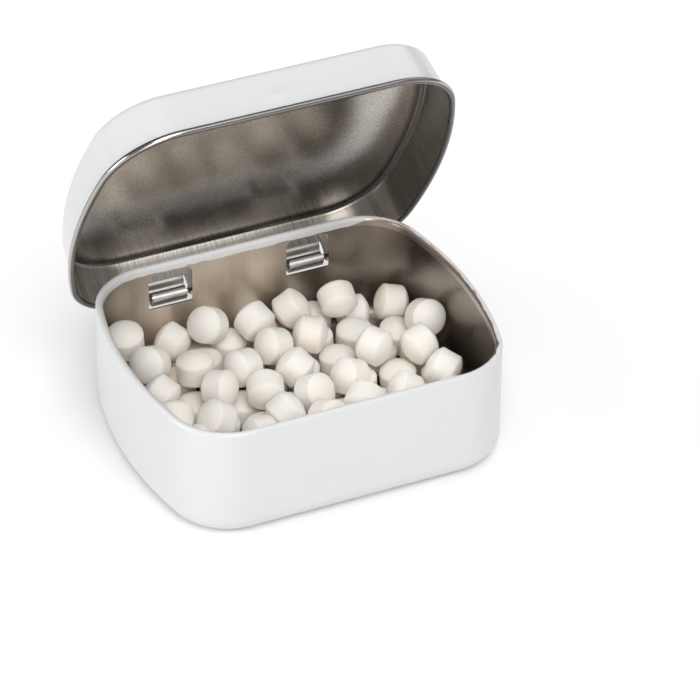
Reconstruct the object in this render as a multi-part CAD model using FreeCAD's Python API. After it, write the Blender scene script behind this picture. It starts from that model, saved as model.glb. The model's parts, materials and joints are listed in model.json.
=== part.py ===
import FreeCAD, Part
import math
import os
import random

# A hinged mint tin: a drawn body, a drawn lid that hangs on it by two rolled tongues, and the
# loose mints inside. Sizes are in millimetres and angles in degrees. +X runs along the hinge,
# +Y towards the hinge and +Z up, and the origin is the middle of the underside.

# Sheet metal of the body and the lid, and the folds that stand for each round bend of the drawn walls
sheet = 0.23
floor_folds = 3
rim_folds = 4
lid_folds = 3
curl_folds = 5
bridge_folds = 2

# Body, measured on the outside of its wall
body_width = 55.9
body_depth = 44.86
body_height = 18.5
end_bow_radius = 62.25
corner_radius = 9.65
floor_bend = 3.0
rim_roll = 0.55
rim_hem = 1.3

# Lid, with its gaps to the body's wall and to the body's rim when it is shut
lid_gap = 0.67
lid_top_gap = 0.3
lid_inside_depth = 7.3
lid_draft = 2.5
lid_bend = 1.15
curl_diameter = 1.38
curl_turn = 280.0
rest_opening = 65.0

# Hinge: a bridge pressed out of the body's back wall on each side, with a window above it and a
# slot below, and a tongue of the lid that is rolled round the bridge. The hinge axis lies a drop
# below the shut lid's edge, and each window an inset from the end of the straight back
hinge_drop = 0.1
hinge_inset = 1.87
hinge_clearance = 0.15
window_width = 7.1
window_rise = 5.05
window_round = 1.2
slot_fall = 1.3
bridge_height = 0.7
bridge_bend = 0.2
bridge_slope = 80.0
strip_lap = 0.3
tongue_width = 6.8
tongue_root = 2.75
tongue_slope = 60.0
tongue_bend = 0.4
tongue_shoulder = 0.5
knuckle_bend = 0.8
hook_turn = 120.0
hook_side_gap = 0.1
hook_end_round = 0.6
notch_gap = 0.25
notch_round = 0.2

# Thumb bump in the middle of the lid's front wall
bump_width = 5.0
bump_height = 2.4
bump_rise = 0.5
bump_slope = 0.6
bump_lift = 2.9

# Mints: short round tablets with raised ends, lying as they were tipped in. The fill is the number
# of mints for each square of their spacing on the floor
mint_diameter = 5.8
mint_length = 5.4
mint_band = 3.1
mint_face = 3.2
mint_sides = 7
mint_fill = 1.4
mint_spacing = 6.25
mint_play = 0.03
mint_lift = 0.1
mint_slope = 0.03
mint_columns = 8
mint_tries = 800
mint_turns = 300
mint_seed = 7

half = sheet / 2
origin = FreeCAD.Vector(0, 0, 0)
axis_x = FreeCAD.Vector(1, 0, 0)
axis_y = FreeCAD.Vector(0, 1, 0)
axis_z = FreeCAD.Vector(0, 0, 1)

back_wall = body_depth / 2
lid_panel = body_height + lid_top_gap
lid_edge = lid_panel - lid_inside_depth
hinge_height = lid_edge - hinge_drop
hinge_point = FreeCAD.Vector(0, back_wall + lid_gap, hinge_height)

# Plan outline: a corner circle touches the straight back and the inside of the bowed end
bow_centre = body_width / 2 - end_bow_radius
corner_y = back_wall - corner_radius
corner_x = bow_centre + math.sqrt((end_bow_radius - corner_radius) ** 2 - corner_y**2)
bow_swing = math.degrees(math.atan2(corner_y, corner_x - bow_centre))
hinge_offset = corner_x - hinge_inset - window_width / 2


def sine(degrees):
    return math.sin(math.radians(degrees))


def cosine(degrees):
    return math.cos(math.radians(degrees))


def aim(degrees, length=1.0):
    """Vector in the section plane XZ, at an angle from +X towards +Z."""
    return FreeCAD.Vector(length * cosine(degrees), 0, length * sine(degrees))


def strip_section(start, heading, moves):
    """Section of a bent strip in the XZ plane. The middle of the sheet leaves start at a heading and
    follows moves: one number is a straight run, and a pair is a round bend's radius and turn, left positive."""
    left = []
    right = []
    point = start
    for move in moves:
        aside = aim(heading + 90)
        if isinstance(move, tuple):
            radius, turn = move
            side = math.copysign(1, turn)
            centre = point + aside * (radius * side)
            spokes = [aim(heading + 90 + turn * part) * -side for part in (0, 0.5, 1)]
            left.append(Part.Arc(*[centre + spoke * (radius - side * half) for spoke in spokes]))
            right.append(Part.Arc(*[centre + spoke * (radius + side * half) for spoke in spokes]))
            point = centre + spokes[2] * radius
            heading = heading + turn
        else:
            end = point + aim(heading, move)
            left.append(Part.LineSegment(point + aside * half, end + aside * half))
            right.append(Part.LineSegment(point - aside * half, end - aside * half))
            point = end
    tip = Part.LineSegment(left[-1].EndPoint, right[-1].EndPoint)
    tail = Part.LineSegment(left[0].StartPoint, right[0].StartPoint)
    edges = [edge.toShape() for edge in left + right + [tip, tail]]
    return Part.Face(Part.Wire(Part.__sortEdges__(edges)))


def drawn_section(start, heading, moves):
    """Section of a drawn wall in the XZ plane, read as a strip's is. Its bends have a number of equal
    folds after the radius and turn, and flats between the folds that lie along the round bend."""
    left = [start + aim(heading + 90, half)]
    right = [start - aim(heading + 90, half)]
    point = start
    for move in moves:
        if isinstance(move, tuple):
            radius, turn, folds = move
            side = math.copysign(1, turn)
            centre = point + aim(heading + 90, radius * side)
            fold = turn / folds
            for step in range(folds):
                spoke = aim(heading + fold * (step + 0.5) - 90 * side, 1 / cosine(fold / 2))
                left.append(centre + spoke * (radius - side * half))
                right.append(centre + spoke * (radius + side * half))
            heading = heading + turn
            point = centre + aim(heading - 90 * side, radius)
        else:
            point = point + aim(heading, move)
    left.append(point + aim(heading + 90, half))
    right.append(point - aim(heading + 90, half))
    outline = left + right[::-1]
    return Part.Face(Part.makePolygon(outline + outline[:1]))


def outline_arcs():
    """Arcs of the plan outline, anticlockwise: centre, radius, first and last angle."""
    arcs = []
    for side, turn in ((1, 0), (-1, 180)):
        bow = FreeCAD.Vector(bow_centre * side, 0, 0)
        corner = FreeCAD.Vector(corner_x * side, corner_y * side, 0)
        before = FreeCAD.Vector(corner_x * side, -corner_y * side, 0)
        arcs.append((before, corner_radius, turn - 90, turn - bow_swing))
        arcs.append((bow, end_bow_radius, turn - bow_swing, turn + bow_swing))
        arcs.append((corner, corner_radius, turn + bow_swing, turn + 90))
    return arcs


def around(section):
    """Carries a section around the plan outline. Its X is the distance outwards from the body."""
    pieces = []
    for centre, radius, first, last in outline_arcs():
        piece = section.copy()
        piece.translate(FreeCAD.Vector(radius, 0, 0))
        piece.rotate(origin, axis_z, first)
        piece = piece.revolve(origin, axis_z, last - first)
        piece.translate(centre)
        pieces.append(piece)
    for side in (1, -1):
        piece = section.copy()
        piece.rotate(origin, axis_z, 90 * side)
        piece.translate(FreeCAD.Vector(corner_x * side, back_wall * side, 0))
        pieces.append(piece.extrude(FreeCAD.Vector(-2 * corner_x * side, 0, 0)))
    return pieces


def plate(offset, height):
    """Flat sheet that fills the plan outline, drawn in or out by an offset."""
    edges = []
    corners = []
    for centre, radius, first, last in outline_arcs():
        angles = (first, (first + last) / 2, last)
        spokes = [FreeCAD.Vector(cosine(angle), sine(angle), 0) for angle in angles]
        points = [centre + spoke * (radius + offset) for spoke in spokes]
        edges.append(Part.Arc(*points).toShape())
        corners.append((points[0], points[2]))
    edges.append(Part.makeLine(corners[2][1], corners[3][0]))
    edges.append(Part.makeLine(corners[5][1], corners[0][0]))
    face = Part.Face(Part.Wire(Part.__sortEdges__(edges)))
    face.translate(axis_z * height)
    return face.extrude(axis_z * sheet)


def joined(pieces):
    """One solid made of pieces that meet."""
    return pieces[0].multiFuse(pieces[1:]).removeSplitter().Solids[0]


def rounded_window(width, foot, top, corner):
    """Cutter through the back wall: an upright opening with rounded top corners."""
    side = width / 2
    points = [
        FreeCAD.Vector(-side, 0, foot),
        FreeCAD.Vector(side, 0, foot),
        FreeCAD.Vector(side, 0, top - corner),
        FreeCAD.Vector(side - corner, 0, top),
        FreeCAD.Vector(corner - side, 0, top),
        FreeCAD.Vector(-side, 0, top - corner),
    ]
    slack = corner * (1 - math.sqrt(0.5))
    right = FreeCAD.Vector(side - slack, 0, top - slack)
    left = FreeCAD.Vector(slack - side, 0, top - slack)
    edges = [
        Part.LineSegment(points[0], points[1]),
        Part.LineSegment(points[1], points[2]),
        Part.Arc(points[2], right, points[3]),
        Part.LineSegment(points[3], points[4]),
        Part.Arc(points[4], left, points[5]),
        Part.LineSegment(points[5], points[0]),
    ]
    face = Part.Face(Part.Wire([edge.toShape() for edge in edges]))
    face.translate(FreeCAD.Vector(0, back_wall - lid_gap, 0))
    return face.extrude(axis_y * hinge_reach)


# Cutters run from a lid gap inside the back wall to well past the lid's curl
hinge_reach = 2 * (lid_gap + curl_diameter)

# The bridge leaves the wall's middle plane and stands out on the hinge axis
bridge_reach = lid_gap + half
bridge_ramp = (bridge_reach - 2 * bridge_bend * (1 - cosine(bridge_slope))) / sine(bridge_slope)
bridge_run = 2 * bridge_bend * sine(bridge_slope) + bridge_ramp * cosine(bridge_slope)
bridge_flat = window_width - 2 * bridge_run
hook_width = bridge_flat - 2 * (half + hook_side_gap)


def bridge():
    """Bridge across a window: it leaves the back wall, runs along the hinge axis and comes back."""
    rise = (bridge_bend, bridge_slope, bridge_folds)
    fall = (bridge_bend, -bridge_slope, bridge_folds)
    start = FreeCAD.Vector(-window_width / 2 - strip_lap, 0, -half)
    moves = [strip_lap, rise, bridge_ramp, fall, bridge_flat, fall, bridge_ramp, rise, strip_lap]
    strip = drawn_section(start, 0, moves)
    strip.rotate(origin, axis_x, -90)
    strip.translate(FreeCAD.Vector(0, back_wall, hinge_height - bridge_height / 2))
    return strip.extrude(axis_z * bridge_height)


def tin_base():
    """Drawn body: floor, bent wall and the rim rolled inwards, with the two hinge windows."""
    wall_rise = body_height - floor_bend - rim_roll
    moves = [
        (floor_bend - half, 90, floor_folds),
        wall_rise,
        (rim_roll - half, 180, rim_folds),
        rim_hem - rim_roll,
    ]
    wall = drawn_section(FreeCAD.Vector(-floor_bend, 0, half), 0, moves)
    body = joined(around(wall) + [plate(-floor_bend, 0)])
    for side in (-1, 1):
        shift = axis_x * (hinge_offset * side)
        foot = hinge_height - slot_fall
        window = rounded_window(window_width, foot, hinge_height + window_rise, window_round)
        window.translate(shift)
        rail = bridge()
        rail.translate(shift)
        body = joined([body.cut(window), rail])
    return body


# The lid's wall leans out by its draft and runs into the curl
curl_middle = curl_diameter / 2 - half
curl_centre = FreeCAD.Vector(lid_gap + curl_diameter / 2, 0, lid_edge + curl_diameter / 2)
wall_foot = curl_centre - aim(lid_draft, curl_middle)
lid_bend_middle = lid_bend - half
wall_top = lid_panel + half - lid_bend_middle * (1 - sine(lid_draft))
wall_run = (wall_top - wall_foot.z) / cosine(lid_draft)


def wall_point(height):
    """Middle of the lid's wall at a height, in the section plane."""
    return wall_foot + aim(90 + lid_draft, (height - wall_foot.z) / cosine(lid_draft))


def tongue():
    """Tongue of the lid's back wall: steps out to the curl's line, turns in under the bridge and rolls
    round the hinge axis."""
    root = wall_point(lid_edge + tongue_root)
    outside = lid_gap + curl_diameter - half
    step_bends = tongue_bend * (cosine(lid_draft) + 1 - 2 * cosine(tongue_slope))
    step_run = (outside - root.x - step_bends) / sine(tongue_slope)
    step_fall = tongue_bend * (2 * sine(tongue_slope) - sine(lid_draft)) + step_run * cosine(tongue_slope)
    hook = math.hypot(bridge_height / 2, half) + hinge_clearance + half
    drop = root.z - step_fall - (hinge_height - hook + knuckle_bend)
    moves = [
        strip_lap,
        (tongue_bend, tongue_slope - lid_draft),
        step_run,
        (tongue_bend, -tongue_slope),
        drop,
        (knuckle_bend, -90),
        outside - knuckle_bend - lid_gap,
        (hook, -hook_turn),
    ]
    strip = strip_section(root + aim(90 + lid_draft, strip_lap), lid_draft - 90, moves)
    strip.rotate(origin, axis_z, 90)
    strip.translate(FreeCAD.Vector(-tongue_width / 2, back_wall, 0))
    solid = strip.extrude(axis_x * tongue_width)
    trim = (tongue_width - hook_width) / 2
    for edge in (-tongue_width / 2, tongue_width / 2 - trim):
        corner = FreeCAD.Vector(edge, back_wall - lid_gap, lid_edge - lid_inside_depth)
        shoulder = hinge_height + tongue_shoulder - corner.z
        solid = solid.cut(Part.makeBox(trim, hinge_reach, shoulder, corner))
    tip = hinge_height + (hook + half) * sine(hook_turn - 90)
    for side in (-1, 1):
        middle = FreeCAD.Vector((hook_width / 2 - hook_end_round) * side, back_wall - lid_gap, tip - hook_end_round)
        reach = 2 * lid_gap
        block = Part.makeBox(2 * hook_end_round, reach, 2 * hook_end_round)
        block.translate(middle - FreeCAD.Vector(hook_end_round * (1 - side), 0, 0))
        round_end = Part.makeCylinder(hook_end_round, reach, middle, axis_y)
        solid = solid.cut(block.cut(round_end))
    return solid


def bump():
    """Outside and hollow of the thumb bump on the front wall, as two slanted pads."""
    pads = []
    middle = wall_point(lid_edge + bump_lift)
    for inset in (0, sheet):
        rings = []
        for reach, draw in ((0, 0), (half + bump_rise, bump_slope)):
            out = -back_wall - middle.x - reach + inset
            wide = bump_width / 2 - draw
            tall = bump_height / 2 - draw
            signs = ((-1, -1), (1, -1), (1, 1), (-1, 1), (-1, -1))
            corners = [FreeCAD.Vector(wide * a, out, middle.z + tall * b) for a, b in signs]
            rings.append(Part.makePolygon(corners))
        pads.append(Part.makeLoft(rings, True, True))
    return pads


def tin_lid():
    """Drawn lid: panel, leaning wall and the edge curled outwards, with the hinge tongues, as opened."""
    start = wall_point(wall_top) - aim(lid_draft, lid_bend_middle) + aim(90, lid_bend_middle)
    moves = [
        (lid_bend_middle, lid_draft - 90, lid_folds),
        wall_run,
        (curl_middle, curl_turn, curl_folds),
    ]
    wall = drawn_section(start, 0, moves)
    lid = joined(around(wall) + [plate(start.x, lid_panel)])
    pad, hollow = bump()
    lid = lid.fuse(pad).cut(hollow).removeSplitter()
    notch_width = tongue_width + 2 * notch_gap
    for side in (-1, 1):
        shift = axis_x * (hinge_offset * side)
        notch = rounded_window(notch_width, lid_edge - curl_diameter, lid_edge + tongue_root, notch_round)
        notch.translate(shift)
        tab = tongue()
        tab.translate(shift)
        lid = joined([lid.cut(notch), tab])
    lid.rotate(hinge_point, axis_x, -rest_opening)
    return lid


def wall_gaps(x, y):
    """Distance from a plan point to the inside of each wall that it faces, with the way to that wall."""
    ways = [(back_wall - sheet - abs(y), (0, math.copysign(1, y)))]
    for centre_x, centre_y, radius in ((bow_centre, 0, end_bow_radius), (corner_x, corner_y, corner_radius)):
        away_x = abs(x) - centre_x
        away_y = abs(y) - centre_y
        if away_x > 0 and away_y > 0:
            far = math.hypot(away_x, away_y)
            way = (math.copysign(away_x / far, x), math.copysign(away_y / far, y))
            ways.append((radius - sheet - far, way))
    return ways


def mint_reach(axis, way):
    """How far a mint reaches from its middle along a direction."""
    along = min(1, abs(sum(a * b for a, b in zip(axis, way))))
    across = math.sqrt(1 - along**2)
    rim = mint_diameter / 2 * across + mint_band / 2 * along
    face = mint_face / 2 * across + mint_length / 2 * along
    return max(rim, face)


def mint_room(place, axis, mints):
    """Least room between a mint and the walls, the flats of the floor bend, the floor and other mints."""
    room = math.inf
    bend = floor_bend - sheet
    for gap, way in wall_gaps(place[0], place[1]):
        for flat in range(floor_folds + 1):
            tilt = 90 / floor_folds * flat
            lean = (way[0] * cosine(tilt), way[1] * cosine(tilt), -sine(tilt))
            depth = bend + (gap - bend) * cosine(tilt) + (place[2] - sheet - bend) * sine(tilt)
            room = min(room, depth - mint_reach(axis, lean))
    for other, other_axis in mints:
        gap = math.dist(place, other)
        if gap < mint_spacing * 1.2:
            way = [(b - a) / gap for a, b in zip(place, other)]
            room = min(room, gap - mint_reach(axis, way) - mint_reach(other_axis, way))
    return room


def resting_place(mints, dice):
    """Where a ball of the mints' spacing comes to rest: low down and towards the front left corner. The
    random search narrows on the best place found so far."""
    reach = mint_spacing / 2
    best = (math.inf, 0, 0, 0)
    for attempt in range(mint_tries):
        spread = 1 - attempt / mint_tries
        x = best[1] + dice.uniform(-1, 1) * body_width * spread**2
        y = best[2] + dice.uniform(-1, 1) * body_depth * spread**2
        if min(gap for gap, way in wall_gaps(x, y)) < reach:
            continue
        z = sheet + reach
        for (other_x, other_y, other_z), axis in mints:
            rise = mint_spacing**2 - (x - other_x) ** 2 - (y - other_y) ** 2
            if rise > 0:
                z = max(z, other_z + math.sqrt(rise))
        cost = z + mint_slope * math.hypot(x + body_width / 2, y + body_depth / 2)
        best = min(best, (cost, x, y, z))
    return best[1:]


def tipped_in():
    """Places and axes of the mints, dropped one after another, each turned so that it touches nothing."""
    dice = random.Random(mint_seed)
    mints = []
    count = round(mint_fill * body_width * body_depth / mint_spacing**2)
    for _ in range(count):
        x, y, z = resting_place(mints, dice)
        room = -1
        while room < mint_play:
            tries = []
            for _ in range(mint_turns):
                turn = dice.uniform(0, 2 * math.pi)
                height = dice.uniform(-1, 1)
                flat = math.sqrt(1 - height**2)
                axis = (flat * math.cos(turn), flat * math.sin(turn), height)
                tries.append((mint_room((x, y, z), axis, mints), axis))
            room, axis = max(tries)
            z += mint_lift if room < mint_play else 0
        mints.append(((x, y, z), axis))
    return mints


def mint():
    """One tablet about +Z: a flat-sided band between two raised ends."""
    levels = (
        (mint_face / 2, -mint_length / 2),
        (mint_diameter / 2, -mint_band / 2),
        (mint_diameter / 2, mint_band / 2),
        (mint_face / 2, mint_length / 2),
    )
    angles = [360 / mint_sides * side for side in range(mint_sides)]
    rings = []
    for radius, height in levels:
        rings.append([FreeCAD.Vector(radius * cosine(turn), radius * sine(turn), height) for turn in angles])
    faces = [rings[0][::-1], rings[-1]]
    for low, high in zip(rings, rings[1:]):
        for side in range(mint_sides):
            after = (side + 1) % mint_sides
            faces.append([low[side], low[after], high[after], high[side]])
    shell = Part.makeShell([Part.Face(Part.makePolygon(face + face[:1])) for face in faces])
    return Part.makeSolid(shell)


def mint_rows():
    """Mints by layer and by row across the tin, named for their place."""
    rows = {}
    tablet = mint()
    mint_span = body_width - mint_spacing
    for place, axis in tipped_in():
        layer = "lower" if place[2] < sheet + mint_spacing * 0.75 else "upper"
        row = int((place[0] / mint_span + 0.5) * mint_columns) + 1
        solid = tablet.copy()
        turn = FreeCAD.Rotation(axis_z, FreeCAD.Vector(*axis))
        solid.Placement = FreeCAD.Placement(FreeCAD.Vector(*place), turn)
        rows.setdefault(f"mints_{layer}_row_{row}", []).append(solid)
    return {name: Part.makeCompound(rows[name]) for name in sorted(rows)}


os.makedirs("parts", exist_ok=True)
nodes = {"tin_base": tin_base(), "tin_lid": tin_lid()}
nodes.update(mint_rows())
for name, shape in nodes.items():
    print(name, "solids", len(shape.Solids), "valid", shape.isValid(), "volume", round(shape.Volume, 2))
    shape.exportStep("parts/" + name + ".step")
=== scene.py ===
# %% [markdown]
# # A hinged mint tin
# The tin is two pieces of thin tinplate, white enamel outside and bare metal inside: a drawn body with its
# rim rolled inwards, and a lid with its edge curled outwards. Loose mints lie in the body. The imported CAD
# model comes in first as the frame, which says where everything is and how it moves. Its bends are a few
# flats each, so this file makes each metal piece again as one smooth bent sheet in the same place, and each
# mint as a smooth tablet.

# %% Frame
import json
import math

import bpy
import numpy as np
from mathutils import Matrix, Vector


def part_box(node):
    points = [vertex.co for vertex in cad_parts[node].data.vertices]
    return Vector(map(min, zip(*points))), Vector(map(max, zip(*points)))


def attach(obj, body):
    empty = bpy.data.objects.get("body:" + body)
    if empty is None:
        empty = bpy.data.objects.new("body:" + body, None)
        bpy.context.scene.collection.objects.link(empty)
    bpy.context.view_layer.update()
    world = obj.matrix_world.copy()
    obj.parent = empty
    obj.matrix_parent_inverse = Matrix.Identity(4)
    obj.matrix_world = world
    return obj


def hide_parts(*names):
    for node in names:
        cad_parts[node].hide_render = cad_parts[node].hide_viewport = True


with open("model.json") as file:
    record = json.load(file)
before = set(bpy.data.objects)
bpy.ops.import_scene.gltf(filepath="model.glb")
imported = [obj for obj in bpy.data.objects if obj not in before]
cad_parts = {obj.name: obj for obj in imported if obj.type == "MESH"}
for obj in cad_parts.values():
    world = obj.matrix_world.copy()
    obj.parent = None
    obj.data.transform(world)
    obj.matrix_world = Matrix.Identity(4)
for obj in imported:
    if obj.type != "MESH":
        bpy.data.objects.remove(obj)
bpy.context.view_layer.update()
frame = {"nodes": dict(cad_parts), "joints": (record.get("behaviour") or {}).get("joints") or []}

# %% [markdown]
# ## Sizes
# Lengths are in millimetres until a mesh is made. The body's box, the hinge's place and the angle at which
# the lid stands open could be typed in again, but reading them from the frame keeps the looks and the motion
# together. A box can't tell how thick the sheet is, so that is written here. Other sizes stand in the step
# that first uses them.

# %% Sizes from the frame
mm = 0.001
base_low, base_high = (np.array(corner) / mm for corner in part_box("tin_base"))
body_width = base_high[0] - base_low[0]
body_height = base_high[2]
back_wall = -base_low[1]
hinge = frame["joints"][0]
hinge_y, hinge_z = np.array(hinge["pos_m"][1:]) / mm
rest_opening = -hinge["range_deg"][0]
lid_gap = hinge_y - back_wall
sheet = 0.23
half = sheet / 2
body_sizes = [round(float(size), 2) for size in (body_width, 2 * back_wall, body_height)]
print("body", body_sizes, "lid open by", rest_opening)

# %% [markdown]
# ## The plan outline
# Seen from above, the tin has a straight front and back, bowed ends and round corners. It could be a curve
# object, but a list of points and outward normals is easier to work with. Its arcs and lines meet without a
# kink, so a wall that stands further out has the same normals and only larger radii, and one list carries
# both metal pieces.

# %% Outline
end_bow_radius = 62.25
corner_radius = 9.65
corner_steps = 16
bow_steps = 24
hair = 1e-6
bow_centre = body_width / 2 - end_bow_radius
corner_y = back_wall - corner_radius
corner_x = bow_centre + math.sqrt((end_bow_radius - corner_radius) ** 2 - corner_y**2)
bow_swing = math.degrees(math.atan2(corner_y, corner_x - bow_centre))


def aim(degrees):
    """Unit vectors at angles from the first axis towards the second."""
    turn = np.radians(degrees)
    return np.stack([np.cos(turn), np.sin(turn)], -1)


def arc(x, y, radius, first, last, steps):
    """Points and normals of an arc: its centre plus its radius times unit vectors at even angles."""
    spoke = aim(np.linspace(first, last, steps + 1)[:-1])
    return np.array([x, y]) + radius * spoke, spoke


def straight(xs, side):
    """Points and normals at given x on the straight back, side 1, or front, side -1."""
    points = np.stack([xs, np.full(len(xs), side * back_wall)], -1)[:-1]
    return points, np.tile([0.0, side], (len(xs) - 1, 1))


def outline(front_lines, back_lines):
    """Points and outward normals round the body, anticlockwise from the front's left end. A line and an arc
    each leave out their last point, which is the next one's first."""
    swing = bow_swing
    pieces = [
        straight(front_lines, -1),
        arc(corner_x, -corner_y, corner_radius, -90, -swing, corner_steps),
        arc(bow_centre, 0, end_bow_radius, -swing, swing, bow_steps),
        arc(corner_x, corner_y, corner_radius, swing, 90, corner_steps),
        straight(back_lines[::-1], 1),
        arc(-corner_x, corner_y, corner_radius, 90, 180 - swing, corner_steps),
        arc(-bow_centre, 0, end_bow_radius, 180 - swing, 180 + swing, bow_steps),
        arc(-corner_x, -corner_y, corner_radius, 180 + swing, 270, corner_steps),
    ]
    return [np.concatenate(rows) for rows in zip(*pieces)]


def facing(normals, side):
    """True for the outline's points on the straight back, side 1, or front, side -1."""
    return np.abs(normals[:, 1] - side) < hair


print("corner centre", round(corner_x, 2), round(corner_y, 2))

# %% [markdown]
# ## Bent sheet
# Both metal pieces are pressed from flat sheet. A Solidify modifier could thicken a plain surface, but then
# the two sides couldn't carry separate finishes so simply. Here a section is a middle line with half the
# thickness on each side, written the way a press brake makes it: straight runs, and bends with a radius and
# a turn. Carrying both sides round the outline, and drawing the floor or the panel in to its middle, gives
# one closed skin: a grid with one axis round the tin and the other across the section, there and back.

# %% Middle line of a section
def bent_line(start, heading, moves):
    """Middle line of a sheet in the plane of (outwards, up), and its left normals. A run is an array of
    distances along the heading. A bend is a radius, a turn and a number of steps, and its points are the
    bend's centre minus the left normal times the radius, left turns positive."""
    point = np.array(start, float)
    points = [point[None]]
    lefts = [aim(heading + 90)[None]]
    for move in moves:
        if isinstance(move, tuple):
            radius, turn, steps = move
            side = math.copysign(1, turn)
            left = aim(heading + 90 + turn * np.linspace(0, 1, steps + 1)[1:])
            made = point + side * radius * (aim(heading + 90) - left)
            heading += turn
        else:
            made = point + move[:, None] * aim(heading)
            left = np.tile(aim(heading + 90), (len(move), 1))
        points.append(made)
        lefts.append(left)
        point = made[-1]
    return np.concatenate(points), np.concatenate(lefts)


def sorted_lines(*places):
    """Places in rising order, each once."""
    return np.unique(np.round(np.concatenate(places), 4))


def run_to(*lengths):
    """Distances of a run in rising order, each once, without its start."""
    lines = sorted_lines(*lengths)
    return lines[lines > 0]


def travelled(points):
    """Distance along a line of points, from 0 at the first."""
    return np.concatenate([[0], np.cumsum(np.linalg.norm(np.diff(points, axis=0), axis=1))])


square_bend = bent_line((0, 0), 0, [run_to([10]), (1, 90, 8), run_to([10])])[0]
print("a square bend of 1 mm between two runs of 10 mm is", round(travelled(square_bend)[-1], 2), "mm long")


# %% Skin carried round the outline
def there_and_back(across):
    """Values across a section, followed by the same values in reverse for its other side."""
    return np.concatenate([across, across[::-1]])


def swept_skin(points, normals, middle, left, rings):
    """Closed skin of a sheet. Column j runs across the section: rings that grow from the middle of the
    plate, the right side of the middle line, then the left side back to the middle. A point is the plate's
    share times (outline + normal times the section's way out), at the section's height."""
    share = there_and_back(np.concatenate([(np.arange(rings) + 0.5) / rings, np.ones(len(middle))]))
    plate = np.zeros(rings, int)
    across = np.concatenate([plate, np.arange(len(middle))])
    right_side = (middle - half * left)[across]
    left_side = (middle + half * left)[across]
    section = np.concatenate([right_side, left_side[::-1]])
    plan = share[:, None] * (points[:, None] + normals[:, None] * section[None, :, :1])
    height = np.broadcast_to(section[None, :, 1:], plan.shape[:2] + (1,))
    return np.concatenate([plan, height], -1)


def skin_faces(rows, columns, keep):
    """Quads of a grid that closes round its rows, where keep is true, and a fan on each middle."""
    ids = np.arange(rows * columns).reshape(rows, columns)
    after = np.roll(ids, -1, 0)
    quads = np.stack([ids[:, :-1], after[:, :-1], after[:, 1:], ids[:, 1:]], -1)[keep]
    first = np.stack([np.full(rows, rows * columns), after[:, 0], ids[:, 0]], -1)
    last = np.stack([np.full(rows, rows * columns + 1), ids[:, -1], after[:, -1]], -1)
    return [quads, np.concatenate([first, last])]


def wrap_map(points, middle, rings):
    """UV in millimetres: the way round the outline, and the way across the section's middle line."""
    around = travelled(points)
    along = there_and_back(np.concatenate([np.zeros(rings), travelled(middle)]))
    return np.stack(np.broadcast_arrays(around[:, None], along[None]), -1)


def span(values, low, high, slack=0.001):
    """First and last place in an array whose values lie from low to high, give or take the slack."""
    found = np.flatnonzero((values > low - slack) & (values < high + slack))
    return found[0], found[-1]


print("three rings to a side make a section of", len(there_and_back(np.arange(3))), "columns")

# %% [markdown]
# ## Strips
# The hinge is made from the sheet itself: a bridge in the body's back wall, and a tongue of the lid rolled
# round it. Both are narrow bands that bend along their length. A box with many modelled bends would do, but
# a rectangle carried along a middle line is shorter, and its width may change on the way, as at the rounded
# end of the tongue.

# %% Strip of sheet
def strip(middle, left, width, place):
    """Closed strip of sheet: at each point of the middle line a rectangle, its width across and the sheet's
    thickness along the normal. place turns (across, outwards, up) into the tin's x, y and z."""
    across = width[:, None] / 2 * np.array([-1, 1, 1, -1])
    thick = half * np.array([1, 1, -1, -1])
    outward = middle[:, None] + left[:, None] * thick[None, :, None]
    vertices = place(across, outward[..., 0], outward[..., 1]).reshape(-1, 3)
    ids = np.arange(len(vertices)).reshape(-1, 4)
    after = np.roll(ids, -1, 1)
    sides = np.stack([ids[:-1], after[:-1], after[1:], ids[1:]], -1).reshape(-1, 4)
    return vertices, [np.concatenate([sides, ids[:1, ::-1], ids[-1:]])]


def strip_slots(steps, bare, cut, worn=0, painted_shade=slice(0)):
    """Material numbers of a strip: enamel, 0, on its left side up to its last worn steps, bare metal after
    that and on its right side, and cut metal on its edges and ends. The dark cut metal also lies on the bare
    metal of the given steps in a tight fold, as painted shade."""
    right = np.full(steps, bare)
    # Painted shade: the dark cut metal on the steps in the fold.
    right[painted_shade] = cut
    left = np.where(np.arange(steps) < steps - worn, 0, right)
    edge = np.full(steps, cut)
    return np.concatenate([np.stack([left, edge, right, edge], -1).ravel(), [cut, cut]])


print("a strip of 4 steps has", len(strip_slots(4, 1, 2)), "faces")

# %% [markdown]
# ## Meshes from arrays
# Blender can build a mesh face by face with bmesh, but whole arrays are quicker and keep the formulas in
# view. Each object stays at the origin with its place in its mesh, rides on a body of the frame and takes
# the place of CAD nodes there. Maps that a finish reads, such as the distance from an edge, are kept as UV
# maps.

# %% Mesh pieces
sharp_angle = math.radians(40)


def joined(parts):
    """Points of several parts as one array, and their blocks of faces with the numbers moved up to match."""
    starts = np.cumsum([0] + [len(points) for points, blocks in parts])
    blocks = [block + start for (points, made), start in zip(parts, starts) for block in made]
    return np.concatenate([points for points, made in parts]), blocks


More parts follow.
